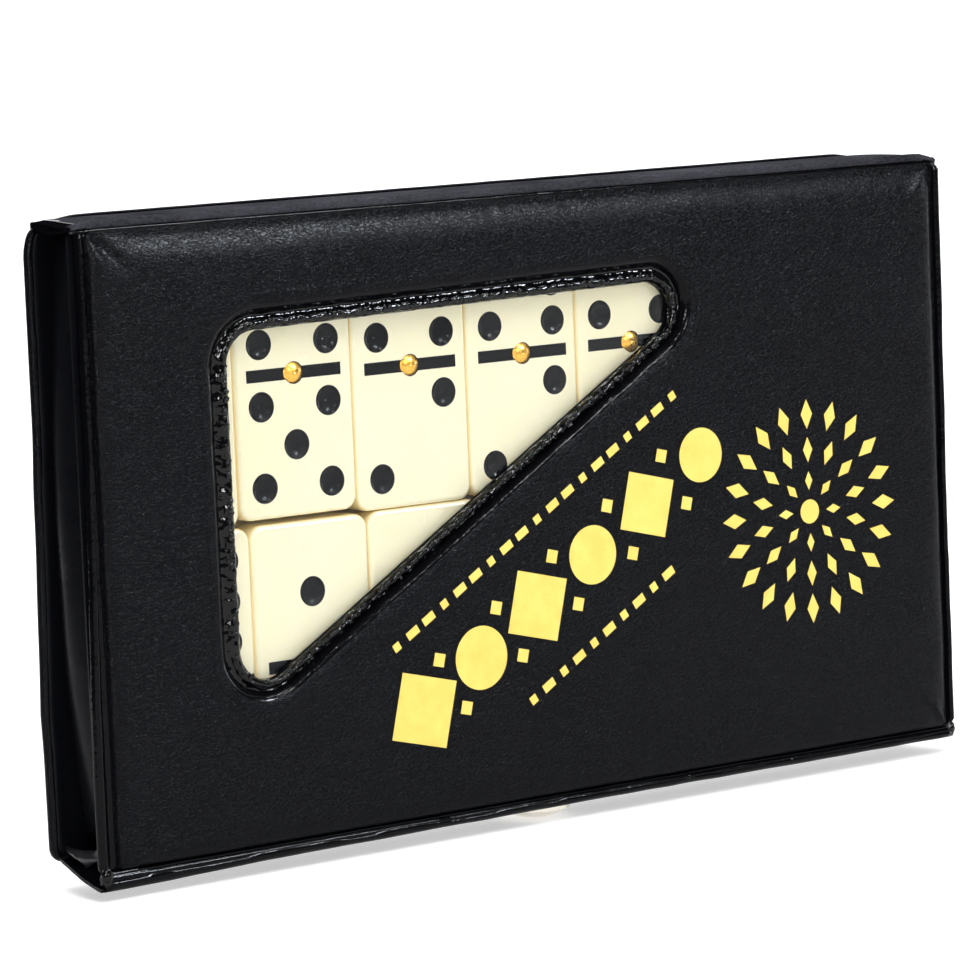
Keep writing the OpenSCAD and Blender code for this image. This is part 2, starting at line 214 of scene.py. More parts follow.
def vinyl_grain(
    name="vinyl_grain", low=(0.0018, 0.002, 0.003), high=(0.003, 0.0033, 0.005), spec=0.065
):
    """Grained vinyl. Its colour is lighter on random scuffed patches and on the grain's crests; the
    lighter crests are a painted highlight. The kind used on the spine's top is a much lighter grey
    with no shine: painted sheen standing in for the light it catches there. The dull kind differs a
    little in colour and has no shine.
    """
    m, nt, b = new_mat(name, Base_Color=(*low, 1), Roughness=0.3, Specular_IOR_Level=spec)
    vec = coords(nt)
    h = leather_height(nt, vec)
    broad = bump(nt, None, tex_noise(nt, vec, 38.0, 2.0), 0.0009, 0.5)
    bump(nt, b, h, 0.00005, 1.0, broad)
    patch = tex_noise(nt, vec, 60.0, 4.0)
    # Colour is lighter on random scuffed patches and on the grain's crests; the crests are a
    # painted highlight, standing in for light catching them.
    scuff, painted_crest_light = math_node(nt, "MULTIPLY", patch, 0.5), math_node(nt, "MULTIPLY", h, 0.3)
    scuff_and_painted_sheen = math_node(nt, "ADD", scuff, painted_crest_light)
    nt.links.new(ramp(nt, scuff_and_painted_sheen, [(0.3, low), (0.7, high)]), b.inputs["Base Color"])
    vary(nt, b, "Roughness", vec, (180.0, 3.0), [(0.25, 0.19), (0.8, 0.27)])
    return m


def vinyl_gloss():
    m, nt, b = new_mat(
        "vinyl_gloss", Base_Color=(0.004, 0.0043, 0.006, 1), Roughness=0.3, Specular_IOR_Level=0.075
    )
    vec = coords(nt)
    broad = bump(nt, None, tex_noise(nt, vec, 55.0, 2.0), 0.0012, 0.4)
    bump(nt, b, tex_noise(nt, vec, 900.0, 3.0), 0.00006, 0.5, broad)
    vary(nt, b, "Roughness", vec, (140.0, 3.0), [(0.3, 0.24), (0.75, 0.38)])
    return m


def vinyl_weld():
    """Melted, shiny vinyl: lumpy, with sharp little highlights."""
    m, nt, b = new_mat(
        "vinyl_weld", Base_Color=(0.0015, 0.0016, 0.0022, 1), Roughness=0.12,
        Specular_IOR_Level=0.22,
    )
    vec = coords(nt)
    broad = bump(nt, None, tex_noise(nt, vec, 520.0, 1.5, 0.4), 0.0005, 0.8)
    bump(nt, b, tex_noise(nt, vec, 1500.0, 1.0), 0.00003, 0.6, broad)
    vary(nt, b, "Roughness", vec, (400.0, 3.0), [(0.3, 0.05), (0.75, 0.12)])
    return m


def vinyl_rim():
    """Pressed edge of the covers: smooth and glossy, with faint dimples."""
    m, nt, b = new_mat(
        "vinyl_rim", Base_Color=(0.002, 0.0021, 0.003, 1), Roughness=0.14, Specular_IOR_Level=0.09
    )
    vec = coords(nt)
    broad = bump(nt, None, tex_noise(nt, vec, 150.0, 3.0, 0.5), 0.0005, 0.5)
    bump(nt, b, tex_noise(nt, vec, 1300.0, 2.0), 0.00006, 0.8, broad)
    vary(nt, b, "Roughness", vec, (300.0, 3.0), [(0.3, 0.1), (0.75, 0.2)])
    return m


def tuck_vinyl():
    """The smooth vinyl's pale reverse, scuffed and slightly shiny."""
    m, nt, b = new_mat("vinyl_reverse", Base_Color=(0.012, 0.0125, 0.015, 1), Roughness=0.3)
    vec = coords(nt)
    stops = [(0.3, (0.008, 0.008, 0.01)), (0.75, (0.02, 0.02, 0.024))]
    vary(nt, b, "Base Color", vec, (260.0, 4.0, 0.6), stops)
    bump(nt, b, tex_noise(nt, vec, 500.0, 3.0), 0.00015, 0.5)
    return m


def tile_cream():
    m, nt, b = new_mat(
        "tile_cream", Base_Color=(0.97, 0.91, 0.66, 1), Roughness=0.22,
        Subsurface_Weight=0.25, Subsurface_Radius=(1.0, 0.75, 0.4), Subsurface_Scale=0.0015,
        Coat_Weight=0.35, Coat_Roughness=0.06,
    )
    vec = coords(nt)
    stops = [(0.3, (0.96, 0.895, 0.62)), (0.7, (0.985, 0.925, 0.69))]
    vary(nt, b, "Base Color", vec, (45.0, 3.0), stops)
    vary(nt, b, "Roughness", vec, (500.0, 4.0), [(0.3, 0.17), (0.8, 0.3)])
    bump(nt, b, tex_noise(nt, vec, 90.0, 2.0), 0.0002, 0.15)
    return m


def pip_black():
    m, nt, b = new_mat(
        "pip_black", Base_Color=(0.003, 0.004, 0.006, 1), Roughness=0.2, Specular_IOR_Level=0.045
    )
    vec = coords(nt)
    bump(nt, b, tex_noise(nt, vec, 900.0, 2.0), 0.00002, 0.4)
    return m


def metal(name, color, rough, scale, share=1.0):
    m, nt, b = new_mat(name, Base_Color=(*color, 1), Roughness=rough, Metallic=share)
    vec = coords(nt)
    vary(nt, b, "Roughness", vec, (scale, 4.0), [(0.3, rough * 0.7), (0.8, rough * 1.5)])
    bump(nt, b, tex_noise(nt, vec, scale * 0.4, 2.0), 0.00005, 0.2)
    return m


def clear_film():
    m = bpy.data.materials.new("clear_film")
    m.use_nodes = True
    nt = m.node_tree
    nt.nodes.remove(nt.nodes["Principled BSDF"])
    out = nt.nodes["Material Output"]
    clear = node(nt, "ShaderNodeBsdfTransparent", Color=(0.985, 0.985, 0.98, 1))
    shine = node(nt, "ShaderNodeBsdfGlossy", Color=(1, 1, 1, 1), Roughness=0.03)
    fres = node(nt, "ShaderNodeFresnel", IOR=1.5)
    vec = coords(nt)
    n = bump(nt, shine, tex_noise(nt, vec, 26.0, 2.0), 0.0022, 0.35)
    nt.links.new(n, fres.inputs["Normal"])
    mix = node(nt, "ShaderNodeMixShader")
    nt.links.new(math_node(nt, "MULTIPLY", fres.outputs[0], 0.13), mix.inputs[0])
    nt.links.new(clear.outputs[0], mix.inputs[1])
    nt.links.new(shine.outputs[0], mix.inputs[2])
    nt.links.new(mix.outputs[0], out.inputs["Surface"])
    return m


def print_ink():
    m, nt, b = new_mat("print_ink", Base_Color=(1.0, 0.72, 0.12, 1), Roughness=0.5)
    vec = coords(nt)
    stops = [(0.3, (0.93, 0.66, 0.1)), (0.7, (1.0, 0.76, 0.15))]
    vary(nt, b, "Base Color", vec, (300.0, 4.0), stops)
    bump(nt, b, leather_height(nt, vec), 0.00003, 0.5)
    return m


def board():
    m, nt, b = new_mat("greyboard", Base_Color=(0.3, 0.24, 0.17, 1), Roughness=0.9)
    vec = coords(nt)
    stops = [(0.3, (0.2, 0.16, 0.11)), (0.7, (0.42, 0.35, 0.27))]
    vary(nt, b, "Base Color", vec, (700.0, 5.0, 0.7), stops)
    bump(nt, b, tex_noise(nt, vec, 1500.0, 4.0), 0.0001, 0.5)
    return m


def foam():
    m, nt, b = new_mat("foam", Base_Color=(0.75, 0.73, 0.68, 1), Roughness=0.95)
    bump(nt, b, tex_noise(nt, coords(nt), 2200.0, 3.0), 0.0002, 0.6)
    return m


MAT = {
    "grain": vinyl_grain(),
    # Painted sheen: the same black vinyl given a much lighter grey and no shine, standing in for
    # the light it catches along the spine's top and folds.
    "scuff_and_painted_sheen": vinyl_grain("vinyl_grain_painted_sheen", (0.012, 0.0125, 0.016), (0.075, 0.076, 0.09), 0.0),
    "gloss": vinyl_gloss(),
    "weld": vinyl_weld(),
    "rim": vinyl_rim(),
    "dull": vinyl_grain("vinyl_dull", (0.002, 0.002, 0.003), (0.004, 0.004, 0.005), 0.0),
    "tuck": tuck_vinyl(),
    "tile": tile_cream(),
    "pip": pip_black(),
    "brass": metal("brass", (0.84, 0.46, 0.07), 0.28, 1500.0, 0.8),
    "nickel": metal("nickel", (0.78, 0.74, 0.66), 0.2, 800.0),
    "film": clear_film(),
    "ink": print_ink(),
    "board": board(),
    "foam": foam(),
}
CAD_MAT = {
    "back_skin": "grain", "spine_skin": "grain", "cover_skin": "grain", "flap_skin": "grain",
    "back_lining": "gloss", "spine_lining": "gloss", "cover_lining": "gloss",
    "flap_lining": "gloss", "tray_vinyl": "gloss", "window_film": "film",
    "back_board": "board", "spine_board": "board", "cover_board": "board",
    "flap_board": "board", "tray_board": "board", "cover_padding": "foam",
    "snap_post": "nickel", "snap_stud": "nickel", "snap_cap": "nickel",
    "snap_socket": "nickel", "spinner_pins": "brass",
}


def smooth(o, angle=35):
    for p in o.data.polygons:
        p.use_smooth = True
    o.data.set_sharp_from_angle(angle=math.radians(angle))


for name, o in NODES.items():
    o.data.materials.clear()
    if name in CAD_MAT:
        o.data.materials.append(MAT[CAD_MAT[name]])
    smooth(o)


# Painted shade and glow: the tiles' sides and rounded edges get a warmer, darker cream that stands
# in for light glowing through the plastic and shade in the gaps between tiles.
def tile_edge():
    m, nt, b = new_mat("tile_edge", Base_Color=(0.86, 0.66, 0.3, 1), Roughness=0.3)
    stops = [(0.3, (0.93, 0.76, 0.38)), (0.7, (0.97, 0.84, 0.5))]
    vary(nt, b, "Base Color", coords(nt), (120.0, 3.0), stops)
    return m


# The warm painted shade and glow for the tiles' sides.
MAT["edge"] = tile_edge()


def paint_tile(o):
    """Black goes on every face that lies sunk below the tile's face, away from its edges. The lower
    faces, its sides and rounded edges, get a warmer, darker cream: painted shade and glow between
    the tiles.
    """
    me = o.data
    for key in ("tile", "pip", "edge"):
        me.materials.append(MAT[key])
    lo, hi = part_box(o.name)
    a, b = back(lo), back(hi)
    x0, x1 = min(a.x, b.x) + 1.7, max(a.x, b.x) - 1.7
    y0, y1 = min(a.y, b.y) + 1.7, max(a.y, b.y) - 1.7
    top = max(a.z, b.z)
    for p in me.polygons:
        c = back(p.center)
        if x0 < c.x < x1 and y0 < c.y < y1 and top - 3.2 < c.z < top - 0.004:
            p.material_index = 1
        elif c.z < top - 0.35:
            p.material_index = 2


for name, o in NODES.items():
    if name.startswith("tile_"):
        paint_tile(o)


# ---------------------------------------------------------------- mesh helpers
def new_object(name, data):
    o = bpy.data.objects.new(name, data)
    bpy.context.scene.collection.objects.link(o)
    return o


def mesh_object(name, bm):
    me = bpy.data.meshes.new(name)
    bm.to_mesh(me)
    bm.free()
    return new_object(name, me)


def finish_mesh(name, bm, mats, angle=40):
    bmesh.ops.recalc_face_normals(bm, faces=bm.faces)
    o = mesh_object(name, bm)
    for m in mats:
        o.data.materials.append(MAT[m])
    smooth(o, angle)
    return o


def evaluated_mesh(o):
    """The object's mesh with its modifiers applied."""
    bpy.context.view_layer.update()
    dg = bpy.context.evaluated_depsgraph_get()
    return bpy.data.meshes.new_from_object(o.evaluated_get(dg), depsgraph=dg)


def bridge(bm, a, b, mat=0, closed=True):
    n = len(a)
    for i in range(n if closed else n - 1):
        j = (i + 1) % n
        f = bm.faces.new((a[i], a[j], b[j], b[i]))
        f.material_index = mat


def loft(bm, rows, closed=True, caps=False):
    """Faces between rows of vertices, and over the two end rows."""
    for a, b in zip(rows, rows[1:]):
        bridge(bm, a, b, 0, closed)
    if caps:
        bm.faces.new(rows[0])
        bm.faces.new(list(reversed(rows[-1])))


def nz(x, y, z, f):
    return noise.noise(Vector((x * f, y * f, z * f)))


def ease(t):
    t = min(max(t, 0.0), 1.0)
    return t * t * (3 - 2 * t)


# ---------------------------------------------------------------- window outline
def win_normals():
    out = []
    for i in range(3):
        j = (i + 1) % 3
        v = Vector(WIN_C[j]) - Vector(WIN_C[i])
        u = v.normalized()
        s = (WIN_R[i] - WIN_R[j]) / v.length
        out.append(Vector((-u.y, u.x)) * math.sqrt(1 - s * s) + u * s)
    return out


def win_gap(p):
    """Distance of a point outside the window's straight sides."""
    n = win_normals()
    return max((Vector(p) - Vector(WIN_C[i])).dot(n[i]) - WIN_R[i] for i in range(3))


WELD = (1.0, 0.6, 1.18)


def weld_d(d, w):
    """Distance d across the weld zone, which is narrower along the slanting side."""
    return d * w if d < GROOVE else d + GROOVE * (w - 1)


def win_loop(d, step=0.45):
    """Points on the window outline at distance d, the same number for every d."""
    ns, pts = win_normals(), []
    for i in range(3):
        j = (i + 1) % 3
        a, b = Vector(WIN_C[i]), Vector(WIN_C[j])
        n, m = ns[i], ns[j]
        count = int((b - a).length / step)
        for k in range(count):
            t = k / count
            r = WIN_R[i] + (WIN_R[j] - WIN_R[i]) * t
            pts.append((a.lerp(b, t) + n * (r + weld_d(d, WELD[i])), n))
        turn = n.angle(m)
        steps = 16
        for k in range(steps):
            t = -turn * k / steps
            c, s = math.cos(t), math.sin(t)
            r = Vector((n.x * c - n.y * s, n.x * s + n.y * c))
            w = WELD[i] + (WELD[j] - WELD[i]) * (0.5 - 0.5 * math.cos(math.pi * k / steps))
            pts.append((b + r * (WIN_R[j] + weld_d(d, w)), r))
    return pts


# ---------------------------------------------------------------- front face
# (inset, z) of the skin, from the flange and from the window's edge to the pad.
SIDE = [
    (1.6, 15.32), (1.0, 15.42), (0.35, 15.7), (0.02, 16.3), (0.15, 16.85), (0.55, 17.28),
    (1.05, 17.4), (1.5, 17.25), (1.9, 16.75), (2.15, 16.2), (2.6, 16.05), (3.1, 16.08),
    (3.5, 16.35), (3.65, 16.9), (3.95, 17.35), (4.5, 17.68), (5.3, 17.9), (6.4, 18.02),
    (8.0, 18.08), (10.0, PAD_Z),
]
RING = [
    (0.02, 15.6), (0.05, 16.05), (0.3, 16.6), (0.7, 16.95), (1.1, 17.05), (1.5, 16.9),
    (1.85, 16.5), (2.1, 16.2), (2.6, 16.12), (2.85, 16.3), (3.0, 16.64), (3.25, 16.95),
    (3.5, 17.35), (3.9, 17.75), (4.4, 17.96), (4.8, 18.04), (5.2, 18.1), (5.5, 18.14),
    (5.8, 18.17), (6.1, 18.15), (6.4, 18.12), (6.7, 18.11), (7.0, PAD_Z), (7.3, PAD_Z),
    (7.6, PAD_Z), (7.9, PAD_Z), (8.2, PAD_Z), (8.5, PAD_Z),
]


def squeeze(d, pad):
    """Inset along the top and lower edges, where the pad starts closer to the fold."""
    return d * pad / FLANGE if d < FLANGE else d - FLANGE + pad


def border_loop(d, step=0.8):
    """Rounded rectangle at inset d: (x, y, share of a folded edge 0..1)."""
    x0 = d - W / 2
    x1 = W / 2 + RIGHT_OUT - (0.74 * d if d < FLANGE else d - 0.94)
    y0 = COVER_Y + squeeze(d, 0.35)
    y1 = TOP_Y + 0.3 - squeeze(d, 0.1)
    nx = int((W - 20) / step)
    ny = int((H - 20) / step)
    pts = []
    corners = [(x1, y1, 0), (x0, y1, 90), (x0, y0, 180), (x1, y0, 270)]
    sides = [
        (x1, y0, x1, y1, ny, 0.0), (x1, y1, x0, y1, nx, 1.0),
        (x0, y1, x0, y0, ny, 0.0), (x0, y0, x1, y0, nx, 1.0),
    ]
    rs = [max(start - 0.3 * d, 0.4) for start in (1.4, 0.5, 1.3, 1.8)]
    if d > GROOVE:
        rs = [max(2.2 - d * 0.35, 0.8)] * 4
    for i, (ax, ay, bx, by, n, fold) in enumerate(sides):
        length = math.hypot(bx - ax, by - ay)
        ux, uy = (bx - ax) / length, (by - ay) / length
        for k in range(n + 1):
            s = rs[i - 1] + (length - rs[i - 1] - rs[i]) * k / n
            pts.append((ax + ux * s, ay + uy * s, fold))
        r = rs[i]
        cx, cy, a0 = corners[i]
        cx -= math.copysign(r, cx)
        cy -= r if cy > H / 2 else -r
        for k in range(1, 6):
            a = math.radians(a0 + 90 * k / 6)
            w = k / 6
            share = fold * (1 - w) + sides[(i + 1) % 4][5] * w
            pts.append((cx + r * math.cos(a), cy + r * math.sin(a), share))
    return pts


CORNERS = [(-1, 1, 0.5), (1, 1, 0.28), (-1, -1, 0.3), (1, -1, 0.25)]


def corner_folds(x, y):
    """Small folds that fan out from the corners of the pad."""
    h = 0.0
    for sx, sy, size in CORNERS:
        dx = W / 2 - (3.0 if sx < 0 else 1.2) - sx * x
        dy = (TOP_Y + 0.4 - y) if sy > 0 else (y - COVER_Y)
        r = math.hypot(dx, dy)
        if r < 14:
            a = math.atan2(dy, dx)
            fan = math.sin(8 * a + 1.2 * nz(x, y, sx, 0.2) + sx)
            h += size * math.exp(-((r - 3.6) / 4.0) ** 2) * fan
            h -= 0.5 * size * math.exp(-(r / 4.0) ** 2)
    return h


def rim_pull(x, y):
    """The cover's left rim is drawn in towards the top; the right one stands out a little."""
    return 1.6 * ease((y - 8) / 72) if x < 0 else 0.5 * (1 - ease((y - 40) / 60))


def pad_share(z):
    """0 at the foot of the pad's edge, 1 at its top."""
    return min(max((z - PAD_FOOT) / PAD_RISE, 0.0), 1.0)


def pad_level(x, y, z):
    """Height z of the pad after its top edge is rounded off and its corners puckered."""
    drop = 1.5 * math.exp(-((max(TOP_Y + 0.2 - y, 0) / 3.2) ** 1.9))
    level = z - (drop - corner_folds(x, y)) * pad_share(z)
    return max(level, min(z, PAD_LOW))


def build_cover():
    bm = bmesh.new()
    rings = []
    for d, z in SIDE:
        ring = []
        for x, y, fold in border_loop(d):
            h = z
            if d < FLANGE:
                h = z * (1 - fold) + min(z, 16.0) * fold
            if d > GROOVE:
                h = pad_level(x, y, z)
            h += 0.09 * nz(x, y, d, 0.12) + 0.05 * nz(x, y, d, 0.5)
            if d < 2.2 and fold < 0.9:
                pull = rim_pull(x, y) * (1 - d / GROOVE) - 0.14 * nz(0, y, 3, 0.09)
                x -= math.copysign(pull, x)
            ring.append(bm.verts.new(L(x, y, min(h, T))))
        rings.append(ring)
    for i in range(len(rings) - 1):
        bridge(bm, rings[i], rings[i + 1], 2 if SIDE[i][0] < 3.2 else 0)
    hole = []
    for d, z in RING:
        ring = []
        for p, n in win_loop(d):
            h = z
            if d < 3.2:
                w = 1 - abs(d - 1.2) / 2.2
                h += 0.28 * w * nz(p.x, p.y, 0, 1.1) + 0.16 * w * nz(p.x, p.y, 9, 2.6)
                q = p + n * (0.22 * w * nz(p.x, p.y, 5, 0.8))
            else:
                q = p + n * 0.15 * nz(p.x, p.y, 5, 0.15)
                h += 0.04 * nz(p.x, p.y, 2, 0.4) * (1 - ease((d - 6) / 2.5))
                if d > 4.6:
                    wx, wy = WIN_C[1]
                    w = math.exp(-(((p.x - wx - 5) / 7) ** 2 + ((p.y - wy + 1) / 7) ** 2))
                    h -= 0.1 * w * (0.5 + 0.5 * math.cos(2 * math.pi * (d - 5.2) / 1.2))
            ring.append(bm.verts.new(L(q.x, q.y, min(h, T))))
        hole.append(ring)
    for i in range(len(hole) - 1):
        bridge(bm, hole[i], hole[i + 1], 1 if RING[i][0] < 2.8 else (2 if RING[i][0] < 4.4 else 0))
    fill_between(bm, rings[-1], hole[-1])
    return finish_mesh("cover_wrap", bm, ["grain", "weld", "rim"], 60)


def in_polygon(p, poly):
    inside = False
    for i in range(len(poly)):
        a, b = poly[i - 1], poly[i]
        if (a.y > p.y) != (b.y > p.y) and p.x < a.x + (b.x - a.x) * (p.y - a.y) / (b.y - a.y):
            inside = not inside
    return inside


def fill_between(bm, outer, inner, level=PAD_Z):
    """Flat skin between the border loop and the window loop."""
    pts, verts, edges, polys = [], [], [], []
    for loop in (outer, inner):
        s = len(pts)
        for v in loop:
            q = back(v.co)
            pts.append(Vector((q.x, q.y)))
            verts.append(v)
        edges += [(s + i, s + (i + 1) % len(loop)) for i in range(len(loop))]
        polys.append(pts[s:])
    hole = polys[1]
    x0, x1 = min(p.x for p in hole), max(p.x for p in hole)
    y0, y1 = min(p.y for p in hole), max(p.y for p in hole)
    step = 3.5
    y = 16.0
    while y < H - 14:
        x = -W / 2 + 14
        while x < W / 2 - 13:
            if win_gap((x, y)) > 10.5:
                pts.append(Vector((x, y)))
                verts.append(bm.verts.new(L(x, y, level)))
            x += step
        y += step
    co, _, tris, orig, _, _ = geometry.delaunay_2d_cdt(pts, edges, [], 0, 1e-5)
    keep = [verts[o[0]] if o else bm.verts.new(L(c.x, c.y, level)) for c, o in zip(co, orig)]
    for t in tris:
        c = sum((co[i] for i in t), Vector((0, 0))) / 3
        if x0 < c.x < x1 and y0 < c.y < y1 and in_polygon(c, hole):
            continue
        if not in_polygon(c, polys[0]):
            continue
        try:
            bm.faces.new([keep[i] for i in t])
        except ValueError:
            pass


def foam_level(x, y, z):
    """The foam keeps below the skin's rounded top edge and its puckered corners."""
    near = math.exp(-((abs(x) - W / 2 + 2.5) ** 2 + (TOP_Y - y) ** 2) / 36)
    share = pad_share(z)
    return z + (pad_level(x, y, PAD_Z) - PAD_Z) * share - (0.15 + 1.8 * near) * share


def build_pad():
    """The foam under the skin, a third of a millimetre inside it all round."""
    bm = bmesh.new()
    rings = []
    outer = ((4.3, 16.5), (4.35, 16.95), (4.9, 17.25), (5.8, 17.45), (8.0, 17.6), (10.0, 17.65))
    for d, z in outer:
        rings.append([
            bm.verts.new(L(x, y, foam_level(x, y, z))) for x, y, _ in border_loop(d)
        ])
    hole = []
    for d, z in ((4.0, 16.5), (4.1, 17.1), (4.8, 17.45), (5.8, 17.6), (7.2, 17.65)):
        hole.append([bm.verts.new(L(p.x, p.y, z)) for p, _ in win_loop(d)])
    loft(bm, rings)
    loft(bm, hole)
    fill_between(bm, rings[-1], hole[-1], 17.65)
    fill_between(bm, rings[0], hole[0], 16.5)
    o = finish_mesh("foam_pad", bm, ["foam"], 60)
    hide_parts("cover_padding")
    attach(o, "cover")


build_pad()
cover = build_cover()
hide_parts("cover_skin")
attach(cover, "cover")


# ---------------------------------------------------------------- melted bead
def melt_nodes():
    """Blobs of melted vinyl scattered along an edge curve."""
    g = bpy.data.node_groups.new("melted_bead", "GeometryNodeTree")
    face = g.interface
    face.new_socket("Geometry", in_out="INPUT", socket_type="NodeSocketGeometry")
    for label, kind, value in (
        ("Count", "NodeSocketInt", 300), ("Seed", "NodeSocketInt", 7),
        ("Smallest", "NodeSocketFloat", 0.6), ("Largest", "NodeSocketFloat", 1.5),
        ("Material", "NodeSocketMaterial", None),
    ):
        s = face.new_socket(label, in_out="INPUT", socket_type=kind)
        if value is not None:
            s.default_value = value
    face.new_socket("Geometry", in_out="OUTPUT", socket_type="NodeSocketGeometry")
    n, link = g.nodes, g.links
    gi, go = n.new("NodeGroupInput"), n.new("NodeGroupOutput")
    curve = n.new("GeometryNodeMeshToCurve")
    pts = n.new("GeometryNodeCurveToPoints")
    pts.mode = "COUNT"
    blob = n.new("GeometryNodeMeshIcoSphere")
    blob.inputs["Radius"].default_value = 0.00052
    blob.inputs["Subdivisions"].default_value = 2
    jitter = n.new("GeometryNodeSetPosition")
    off, size, turn = (n.new("FunctionNodeRandomValue") for _ in range(3))
    for value in (off, size, turn):
        value.data_type = "FLOAT_VECTOR"
    off.inputs[0].default_value = (-0.0003, -0.00015, -0.0003)
    off.inputs[1].default_value = (0.0003, 0.00012, 0.0003)
    turn.inputs[1].default_value = (0.5, 0.5, 0.5)
    inst = n.new("GeometryNodeInstanceOnPoints")
    real = n.new("GeometryNodeRealizeInstances")
    paint = n.new("GeometryNodeSetMaterial")
    shade = n.new("GeometryNodeSetShadeSmooth")
    low, high = n.new("ShaderNodeCombineXYZ"), n.new("ShaderNodeCombineXYZ")
    for c, key in ((low, "Smallest"), (high, "Largest")):
        link.new(gi.outputs[key], c.inputs[0])
        link.new(gi.outputs[key], c.inputs[2])
        c.inputs[1].default_value = 0.55
    link.new(low.outputs[0], size.inputs[0])
    link.new(high.outputs[0], size.inputs[1])
    link.new(gi.outputs["Geometry"], curve.inputs[0])
    link.new(curve.outputs[0], pts.inputs[0])
    link.new(gi.outputs["Count"], pts.inputs["Count"])
    for r in (off, size, turn):
        link.new(gi.outputs["Seed"], r.inputs["Seed"])
    link.new(pts.outputs[0], jitter.inputs["Geometry"])
    link.new(off.outputs[0], jitter.inputs["Offset"])
    link.new(jitter.outputs[0], inst.inputs["Points"])
    link.new(blob.outputs[0], inst.inputs["Instance"])
    link.new(size.outputs[0], inst.inputs["Scale"])
    link.new(turn.outputs[0], inst.inputs["Rotation"])
    chain = (inst, real, shade, paint, go)
    for a, b in zip(chain, chain[1:]):
        link.new(a.outputs[0], b.inputs[0])
    link.new(gi.outputs["Material"], paint.inputs["Material"])
    return g


def build_bead():
    bm = bmesh.new()
    vs = [bm.verts.new(L(p.x, p.y, 16.75)) for p, _ in win_loop(1.0)]
    for i in range(len(vs)):
        bm.edges.new((vs[i], vs[(i + 1) % len(vs)]))
    o = finish_mesh("bead_path", bm, ["weld"])
    m = o.modifiers.new("melt", "NODES")
    m.node_group = melt_nodes()
    for item in m.node_group.interface.items_tree:
        if item.item_type == "SOCKET" and item.in_out == "INPUT" and item.name == "Material":
            m[item.identifier] = MAT["weld"]
    out = new_object("window_weld_bead", evaluated_mesh(o))
    bpy.data.objects.remove(o)
    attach(out, "cover")
    return out


build_bead()


# ---------------------------------------------------------------- folds
def strip(name, section, mat, x0=-W / 2 + 0.9, x1=W / 2 - 0.9, step=1.5, wob=0.06):
    """A thin sheet drawn along x. section gives (y, z) points at each x."""
    bm = bmesh.new()
    n = int((x1 - x0) / step)
    rows = []
    for k in range(n + 1):
        x = x0 + (x1 - x0) * k / n
        rows.append([
            bm.verts.new(L(x, y + wob * nz(x, i, 0, 0.15), z + wob * nz(x, i, 7, 0.15)))
            for i, (y, z) in enumerate(section(x))
        ])
    loft(bm, rows, closed=False)
    o = finish_mesh(name, bm, mat, 60)
    s = o.modifiers.new("thick", "SOLIDIFY")
    s.thickness = 0.0003
    s.offset = 0
    me = evaluated_mesh(o)
    o.modifiers.clear()
    o.data = me
    return o


def arc(cy, cz, r, a0, a1, n):
    """Points (y, z) round a hinge line; angle 0 is +y, 90 is +z."""
    out = []
    for k in range(n + 1):
        a = math.radians(a0 + (a1 - a0) * k / n)
        out.append((cy + r * math.cos(a), cz + r * math.sin(a)))
    return out


def sag(x):
    """How far the lower fold hangs down towards its left end."""
    return 1.0 * math.exp(-((x + W / 2) / 26) ** 2) + 0.35 * math.exp(-((x + W / 2 - 45) / 40) ** 2)


def lift(x):
    """How far the flap's tip curls up towards its ends."""
    return 2.1 * math.exp(-((x + W / 2) / 26) ** 2) + 1.2 * math.exp(-((x - W / 2) / 24) ** 2)


def end_droop(x):
    """The spine's ends hang a little at the front."""
    return math.exp(-(((W / 2 + 0.8 - x) / 2.2) ** 2)) + 0.8 * math.exp(-(((x + W / 2) / 3.0) ** 2))


def front_seam(x):
    """The welded seam along the spine's front edge: a round, then a small groove."""
    y, z = HB
    pts = [(y + 0.5, z - 1.5), (y + 0.62, z - 0.9), (y + 0.52, z - 0.38), (y + 0.2, z - 0.1),
           (y - 0.2, z - 0.08), (y - 0.46, z - 0.22), (y - 0.62, z - 0.6), (y - 0.72, z - 0.62),
           (y - 0.78, z - 0.4), (y - 0.86, z - 0.26), (y - 0.96, z - 0.2), (y - 1.06, z - 0.22),
           (y - 1.16, z - 0.34)]
    k = end_droop(x)
    return [(a - k * max((a - 106.0) / 1.8, 0), b) for a, b in pts]


def back_fold(x):
    """The fold behind the spine, which flattens towards its ends."""
    y, z = HA
    k = 1 - 0.9 * ease((abs(x) - W / 2 + 12) / 7)
    return [(y - 1.6, z - 0.95), (y - 0.9, z - 1.0), (y - 0.2, z - 1.05), (y + 0.35 * k, z - 0.9),
            (y + 0.7 * k, z - 0.55), (y + 0.85 * k, z - 0.1), (y + 0.9 * k, z + 0.6)]


def low_fold(x):
    """Two pressed ridges below the pad, then the round of the fold.

    The ridges die out at the left.
    """
    d = sag(x)
    k = 0.25 + 0.75 * ease((x + W / 2 - 6) / 6)
    pts = [(2.1, 15.6), (1.95, 16.2), (1.86, 16.6), (1.74, 16.78 + 0.2 * k), (1.6, 16.8 + 0.14 * k),
           (1.5, 16.85 - 0.05 * k), (1.4, 16.95 + 0.1 * k), (1.2, 17.1 + 0.14 * k), (0.95, 17.25)]
    pts += arc(0.8, 16.45, 0.82, 75, 190, 9)
    return [(y - d * ease((2.0 - y) / 2.0), z) for y, z in pts]


